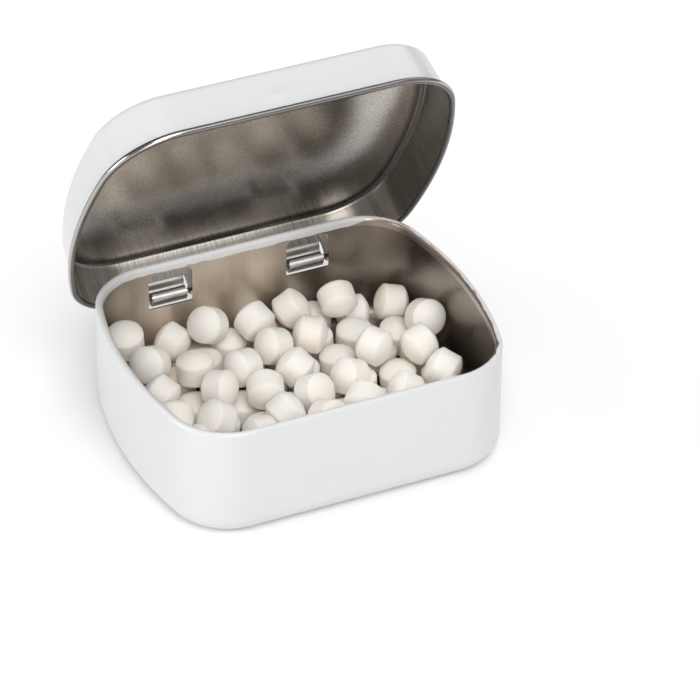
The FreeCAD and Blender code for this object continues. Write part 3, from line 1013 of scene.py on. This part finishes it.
def dots(tree, radius, angle, count, at, size, turn):
    """Mask of a ring of round dots: the distance from the nearest dot's middle, from the way along the arc
    and the way across it, against the dot's size."""
    turns = sums(tree, "MULTIPLY_ADD", angle, count / full_turn, turn)
    aside = sums(tree, "MULTIPLY", sums(tree, "SUBTRACT", sums(tree, "FRACT", turns), 0.5), full_turn / count)
    along = sums(tree, "MULTIPLY", aside, radius)
    past = sums(tree, "SUBTRACT", radius, at)
    return within(tree, length_of(tree, along, past), size, 0.05)


def inks(tree, white):
    """White with the print laid over it: small dots, large dots, two circles and a double frame."""
    plan = map_values(tree, "plan")
    inset = map_values(tree, "inset")["X"]
    radius = length_of(tree, plan["X"], plan["Y"])
    angle = sums(tree, "ARCTAN2", plan["Y"], plan["X"])
    inner = dots(tree, radius, angle, count=18, at=7.0, size=0.55, turn=0.5)
    large = dots(tree, radius, angle, count=18, at=9.2, size=0.95, turn=0.0)
    outer = dots(tree, radius, angle, count=36, at=11.2, size=0.3, turn=0.0)
    small = sums(tree, "MAXIMUM", inner, outer)
    circles = sums(tree, "MAXIMUM", on_line(tree, radius, 12.4, 0.1), on_line(tree, radius, 5.4, 0.1))
    lines = sums(tree, "MAXIMUM", on_line(tree, inset, 2.6, 0.11), on_line(tree, inset, 3.2, 0.05, 0.03))
    shade = ranged(tree, plan["Y"], -shade_reach, shade_reach, 0, 1)
    colour = mixed(tree, small, white, mixed(tree, shade, dark_lime, light_lime))
    colour = mixed(tree, large, colour, mixed(tree, shade, dark_green, light_green))
    colour = mixed(tree, circles, colour, circle_ink)
    return mixed(tree, lines, colour, frame_ink)


printed = lacquer("printed_enamel", inks)
print("finish", printed.name)

# %% [markdown]
# ## Maps on the lid
# The print and the bare metal both need places on the lid. The distance from the panel's edge keeps the
# frame even and places painted shade in the fold and painted light inside it. The bead gets a painted
# highlight only on its crest, and a painted sheen lies on the fold, the back wall and the left end. All are
# worked out from the shut positions, where the formulas are simple.

# %% Maps of the lid
# Shares of painted sheen on the lid's back wall and left end.
sheen_on_wall = 0.3
sheen_on_end = 0.7
sheen_end_fade = 5.0
fold_steps = 6
# Turn of the bead where its painted highlight rises and falls, in degrees.
crest_from = 110.0
crest_rise = 25.0
crest_to = 182.0
crest_fall = 22.0


def panel_inset(vertices):
    """Distance from the panel's edge: within a corner's sector to the corner's arc, and elsewhere to the
    nearer of the straight side and the bowed end."""
    x = np.abs(vertices[:, 0])
    y = np.abs(vertices[:, 1])
    out = panel_edge[0]
    sector = np.degrees(np.arctan2(y - corner_y, x - corner_x))
    corner = corner_radius + out - np.hypot(x - corner_x, y - corner_y)
    side = np.minimum(back_wall + out - y, end_bow_radius + out - np.hypot(x - bow_centre, y))
    return np.where((sector > bow_swing) & (sector < 90), corner, side)


def bead_crest(rows, columns):
    """1 on the crest of the bead, where it gets a painted highlight, by how far the sheet has turned, and 0
    on its flanks.
    """
    turned = np.linspace(0, bead_turn, bead_steps + 1)
    crest = np.zeros((rows, columns))
    rise = ease((turned - crest_from) / crest_rise)
    fall = ease((crest_to - turned) / crest_fall)
    crest[:, bead_first:bead_first + bead_steps + 1] = rise * fall
    return crest


def lid_painted_sheen(vertices, rows, columns):
    """Share of painted sheen: full in the back's fold, part of it on the back wall, and more on the left
    end."""
    in_section = np.full(columns, sheen_on_wall)
    # The back's fold gets the full painted sheen, a painted highlight along the crease.
    in_section[lid_rings + fold_steps - 1:lid_rings + bend_steps + 2] = 1
    share = painted_sheen_share(vertices)
    share[:rows * columns] *= np.tile(in_section, rows)
    # The left end's inner wall gets a painted reflection.
    return np.maximum(share, sheen_on_end * ease((-corner_x - vertices[:, 0]) / sheen_end_fade))


crest = bead_crest(rows, columns)
print("crest covers", int((crest[0] > 0.5).sum()), "of", bead_steps, "steps of the bead")

# %% [markdown]
# ## The lid as one mesh
# Skin, notch edges and tongues become one mesh, as the real lid is one stamping. The tongue is white as far
# as the knuckle, bare on the hook, and deep in the fold it takes the dark cut metal as painted shade. The
# last step turns the lid open.

# %% Lid mesh
def opened(vertices):
    """Turns shut positions open about the hinge: a turn in the plane of y and z by the lid's opening."""
    turn = math.radians(rest_opening)
    y = vertices[:, 1] - hinge_y
    z = vertices[:, 2] - hinge_z
    back = hinge_y + y * math.cos(turn) + z * math.sin(turn)
    up = hinge_z - y * math.sin(turn) + z * math.cos(turn)
    return np.stack([vertices[:, 0], back, up], -1)


lid_finishes = [enamel, bare_wall, bare_panel, printed, bare_edge, bare_hinge, bare_bead]
on_white, on_wall, on_panel, on_print, on_edge, on_hinge, on_bead = range(len(lid_finishes))
places = np.arange(columns - 1)
panel_part = (places < lid_rings) | (places >= columns - 1 - lid_rings)
below_fold = np.where(places >= bead_first, on_bead, on_wall)
inner_slot = np.where(places < lid_rings + fold_steps, on_panel, below_fold)
outer_slot = np.where(panel_part, on_print, on_white)
column_slot = np.where(places >= columns // 2, outer_slot, inner_slot)
skin = np.concatenate([lid_grid.reshape(-1, 3), [[0, 0, lid_panel], [0, 0, lid_panel + sheet]]])
vertices, blocks = joined([(skin, skin_faces(rows, columns, keep) + notch_edges + notch_caps)] + tongues)
tongue_steps = len(order) - 1
worn_steps = hook_steps + 1 + knuckle_steps // 2
# Steps of the tongue's inner side in the fold that get painted shade.
painted_shade_steps = slice(2 * step_bend_steps + 1, tongue_steps - hook_steps + 1)
slots = [np.broadcast_to(column_slot, keep.shape)[keep], np.repeat([on_panel, on_print], rows)]
slots += [np.full(len(block), on_edge) for block in notch_edges + notch_caps]
slots += [strip_slots(tongue_steps, on_hinge, on_edge, worn_steps, painted_shade_steps) for tongue in tongues]
maps = {
    "wrap": wrap_for(lid_wrap, vertices, len(skin)),
    "plan": vertices[:, :2],
    "inset": panel_inset(vertices),
    "rub": lid_painted_sheen(vertices, rows, columns),
    "crest": padded(crest, len(vertices)),
}
tin_cover = piece("tin_cover", opened(vertices), blocks, slots, lid_finishes, "lid", ["tin_lid"], maps)

# %% [markdown]
# ## The mints
# Each mint is a short round tablet with domed ends, pressed from sugar. A cylinder with a Bevel modifier
# would come close, but a profile turned about the axis gives the true dome and a soft edge. Its place and
# lie come from the frame: the CAD mints of a node follow one another in the mesh with the same number of
# triangles, so their corners fold into one block for each mint. The mean of a block is the middle, and the
# odd one of its three spreads is the axis.

# %% Mint profile
mint_radius = 2.9
mint_half = 2.7
mint_band = 1.55
mint_edge = 0.5


def mint_profile(band_steps=5, edge_steps=6, dome_steps=9):
    """Radius and height from below the upper middle to above the lower one: a dome, an edge rounded by a
    small circle that touches both dome and band, and a straight band. The dome's circle passes through the
    band's end and the middle of the mint's end."""
    rise = mint_half - mint_band
    dome = (mint_radius**2 + rise**2) / (2 * rise)
    dome_z = mint_half - dome
    edge_r = mint_radius - mint_edge
    edge_z = dome_z + math.sqrt((dome - mint_edge) ** 2 - edge_r**2)
    meet = math.degrees(math.atan2(edge_z - dome_z, edge_r))
    top = np.array([0, dome_z]) + dome * aim(np.linspace(90, meet, dome_steps + 1)[1:-1])
    edge = np.array([edge_r, edge_z]) + mint_edge * aim(np.linspace(meet, 0, edge_steps + 1))
    band_z = np.linspace(edge_z, -edge_z, band_steps + 2)[1:-1]
    band = np.stack([np.full(band_steps, mint_radius), band_z], -1)
    half_way = np.concatenate([top, edge])
    return np.concatenate([half_way, band, half_way[::-1] * [1, -1]])


profile = mint_profile()
print("profile points", len(profile))

# %% Where the mints lie
mint_triangles = 52


def mint_lie(node):
    """Middles and axes of a node's mints, in millimetres."""
    mesh = frame["nodes"][node].data
    corners = np.zeros(len(mesh.loops), np.int32)
    mesh.loops.foreach_get("vertex_index", corners)
    places = np.zeros(len(mesh.vertices) * 3)
    mesh.vertices.foreach_get("co", places)
    blocks = places.reshape(-1, 3)[corners].reshape(-1, mint_triangles * 3, 3) / mm
    middles = blocks.mean(1)
    away = blocks - middles[:, None]
    values, ways = np.linalg.eigh(np.einsum("mij,mik->mjk", away, away))
    odd = np.abs(values - np.median(values, axis=1, keepdims=True)).argmax(1)
    return middles, np.take_along_axis(ways, odd[:, None, None], 2)[..., 0]


mint_nodes = sorted(name for name in frame["nodes"] if name.startswith("mints_"))
print("mints", sum(len(mint_lie(node)[0]) for node in mint_nodes), "in", len(mint_nodes), "nodes")

# %% [markdown]
# ## No two mints alike
# Pressed tablets differ a little in size and have soft dents from rubbing together. A Displace modifier
# could add them, but a few shallow waves round each mint, with phases from a seeded generator, need no
# modifier and stay the same in every run.

# %% Mint shape
mint_around = 40
mint_upright = 0.8
mint_shrink = 0.99
mint_spread = 0.015
mint_oval = 0.008
mint_dent = 0.005
mint_ripple = 0.004
mint_tilt = 0.01


def mint_points(middles, axes, dice):
    """Points of each mint: middle + axis times z + spoke times r, with r swollen by waves of seeded phase in
    both directions, then the two middles of its ends."""
    count = len(middles)
    helper = np.where(np.abs(axes[:, 2:]) < mint_upright, [[0, 0, 1.0]], [[1.0, 0, 0]])
    side = np.cross(axes, helper)
    side /= np.linalg.norm(side, axis=1, keepdims=True)
    third = np.cross(axes, side)
    phase = dice.uniform(0, 2 * np.pi, (4, count, 1, 1))
    size = 1 - mint_spread * dice.uniform(0, 1, (count, 1, 1))
    t = np.linspace(0, 2 * np.pi, mint_around, endpoint=False)[None, None]
    h = profile[None, :, 1:] / mint_half
    oval = mint_oval * np.sin(2 * t + phase[0])
    dents = mint_dent * np.sin(3 * t + 3 * h + phase[1]) + mint_ripple * np.sin(5 * t - 4 * h + phase[2])
    r = profile[None, :, :1] * size * (mint_shrink + oval + dents)
    tilt = mint_tilt * np.sin(t + phase[3]) * np.sqrt(profile[None, :, :1] / mint_radius)
    z = profile[None, :, 1:] * size * (mint_shrink + tilt)
    spoke = np.cos(t)[..., None] * side[:, None, None] + np.sin(t)[..., None] * third[:, None, None]
    ring = middles[:, None, None] + z[..., None] * axes[:, None, None] + r[..., None] * spoke
    ends = middles[:, None] + mint_half * mint_shrink * size * axes[:, None] * np.array([[[1.0], [-1.0]]])
    return np.concatenate([ring.reshape(count, -1, 3), ends], 1)


def mint_faces(count):
    """Quads round each mint and a fan on each end, for one mint and then moved up for the others."""
    total = len(profile) * mint_around
    ids = np.arange(total).reshape(-1, mint_around)
    after = np.roll(ids, -1, 1)
    quads = np.stack([ids[1:], after[1:], after[:-1], ids[:-1]], -1).reshape(-1, 4)
    first = np.stack([np.full(mint_around, total), ids[0], after[0]], -1)
    last = np.stack([np.full(mint_around, total + 1), after[-1], ids[-1]], -1)
    fans = np.concatenate([first, last])
    move = np.arange(count)[:, None, None] * (total + 2)
    return [(quads[None] + move).reshape(-1, 4), (fans[None] + move).reshape(-1, 3)]


print("faces of one mint", sum(len(block) for block in mint_faces(1)))

# %% [markdown]
# ## Mint finish
# Pressed sugar is a dull, slightly warm white that lets a little light in, so its shaded side never goes
# black. A plain rough white would look like chalk. Some subsurface light softens it, and a tone for each
# mint, kept in a UV map, makes them differ.

# %% Mint finish and meshes
sugar_low = (0.92, 0.845, 0.77, 1)
sugar_high = (0.965, 0.92, 0.87, 1)
mint_finish, tree, shader = blank_material("pressed_mint")
patch, fine = mottled(tree, 260.0, 3500.0)
tone = sums(tree, "MULTIPLY_ADD", patch, 0.5, map_values(tree, "tone")["X"])
bump = add(tree, "ShaderNodeBump", {"Height": fine, "Strength": 0.25, "Distance": 0.06 * mm})
wire(tree, shader, {
    "Base Color": mixed(tree, tone, sugar_low, sugar_high),
    "Roughness": ranged(tree, patch, 0, 1, 0.5, 0.68),
    "Normal": bump.outputs["Normal"],
    "Subsurface Weight": 0.7,
    "Subsurface Radius": (1.0, 0.8, 0.6),
    "Subsurface Scale": 2 * mm,
})
dice = np.random.default_rng(11)
for node in mint_nodes:
    grid = mint_points(*mint_lie(node), dice)
    blocks = mint_faces(len(grid))
    tones = np.repeat(dice.uniform(0.0, 0.5, len(grid)), grid.shape[1])
    slots = [np.zeros(len(block)) for block in blocks]
    name = node.replace("mints", "tablets")
    made = piece(name, grid.reshape(-1, 3), blocks, slots, [mint_finish], "base", [node], {"tone": tones})

# %% [markdown]
# ## Floor
# The photograph is a catalogue picture on white with hardly any shadow. More light on a white floor would
# burn out the tin as well. So the floor is white and also shines a little by itself, for the camera and for
# reflections only, and less so near the tin, where its soft shadow falls. It reaches far, so that no edge
# shows in low views.

# %% Floor
floor_reach = 40.0
floor_drop = 0.02 * mm
shadow_from = 30 * mm
shadow_to = 70 * mm
floor_finish, tree, shader = blank_material("white_floor")
wire(tree, shader, {"Base Color": (0.93, 0.93, 0.93, 1), "Roughness": 0.8, "Specular IOR Level": 0.0})
path = add(tree, "ShaderNodeLightPath").outputs
seen = sums(tree, "MAXIMUM", path["Is Camera Ray"], path["Is Glossy Ray"])
seen = sums(tree, "MAXIMUM", seen, path["Is Transmission Ray"])
where = add(tree, "ShaderNodeTexCoord").outputs["Object"]
away = add(tree, "ShaderNodeVectorMath", {0: where}, operation="LENGTH").outputs["Value"]
share = sums(tree, "MULTIPLY", seen, ranged(tree, away, shadow_from, shadow_to, 0.1, 0.92, "SMOOTHSTEP"))
glow = add(tree, "ShaderNodeEmission", {"Color": (1, 1, 1, 1), "Strength": 1.02})
both = add(tree, "ShaderNodeMixShader", {0: share, 1: shader.outputs[0], 2: glow.outputs[0]})
wire(tree, tree.nodes["Material Output"], {"Surface": both.outputs[0]})
floor_mesh = bpy.data.meshes.new("floor")
ground = [(x * floor_reach, y * floor_reach, -floor_drop) for x, y in ((-1, -1), (1, -1), (1, 1), (-1, 1))]
floor_mesh.from_pydata(ground, [], [(0, 1, 2, 3)])
floor_mesh.materials.append(floor_finish)
floor = bpy.data.objects.new("floor", floor_mesh)
bpy.context.scene.collection.objects.link(floor)
print("floor", 2 * floor_reach, "m wide")

# %% [markdown]
# ## Light
# A catalogue picture is lit by large softboxes, so its shadows are soft and metal shows broad bright
# patches. A sun lamp would give hard edges. Square area lamps stand round the tin on spheres of their own,
# and a pale world fills in what they leave. All stay at a plain level, so that a colour renders about as it
# is written.

# %% Light
def looking(azimuth, elevation):
    """Right, up and backward directions of something that looks at the tin from an azimuth and an
    elevation."""
    a = math.radians(azimuth)
    e = math.radians(elevation)
    back = np.array([math.sin(a) * math.cos(e), -math.cos(a) * math.cos(e), math.sin(e)])
    right = np.array([math.cos(a), math.sin(a), 0])
    return right, np.cross(back, right), back


def placed(name, data, right, up, back, place):
    """Object with its axes along three directions, at a place in metres."""
    made = bpy.data.objects.new(name, data)
    turned = Matrix(np.column_stack([right, up, back]).tolist()).to_4x4()
    turned.translation = place.tolist()
    made.matrix_world = turned
    bpy.context.scene.collection.objects.link(made)
    return made


lamp_aim = np.array([0, 0, 0.02])


def softbox(name, azimuth, elevation, distance, size, power):
    """Square area lamp on a sphere about the tin, facing it."""
    lamp = bpy.data.lights.new(name, "AREA")
    lamp.shape = "SQUARE"
    lamp.size = size
    lamp.energy = power
    right, up, back = looking(azimuth, elevation)
    return placed(name, lamp, right, up, back, back * distance + lamp_aim)


# Azimuth and elevation in degrees, distance and size in metres, power in watts
lamps = [
    softbox("top_softbox", 60, 84, 0.6, 0.6, 0.85),
    softbox("key_softbox", -8, 52, 0.7, 0.45, 2.9),
    softbox("left_softbox", -95, 12, 0.7, 0.4, 2.35),
    softbox("front_softbox", -15, 15, 0.7, 0.4, 1.1),
    softbox("rear_softbox", 125, 38, 0.8, 0.5, 1.1),
]
world = bpy.data.worlds.new("studio")
world.use_nodes = True
wire(world.node_tree, world.node_tree.nodes["Background"], {"Color": (1, 1, 1, 1), "Strength": 0.29})
bpy.context.scene.world = world
bpy.context.scene.view_settings.view_transform = "Standard"
print("lamps", [lamp.name for lamp in lamps])

# %% [markdown]
# ## Camera
# The picture was taken with a long lens from the front left. The camera could be moved by eye, but its
# angles, its distance and its focal length were solved from the tin's own outline in the picture, so the two
# can be laid over one another. It looks a little past the tin, as in the picture.

# %% Camera
camera_azimuth = -24.497
camera_elevation = 35.975
camera_roll = math.radians(0.652)
camera_distance = 646.646
picture_pixels = 700
focal_pixels = 4308.4
aside_right = -7.858
aside_up = -10.675
level_right, level_up, back = looking(camera_azimuth, camera_elevation)
right = math.cos(camera_roll) * level_right + math.sin(camera_roll) * level_up
up = math.cos(camera_roll) * level_up - math.sin(camera_roll) * level_right
lens = bpy.data.cameras.new("camera")
lens.sensor_width = 36
lens.lens = focal_pixels / picture_pixels * lens.sensor_width
lens.clip_start = 0.01
stand = camera_distance * back - aside_right * right - aside_up * up
bpy.context.scene.camera = placed("camera", lens, right, up, back, stand * mm)
print("lens", round(lens.lens, 1), "mm")
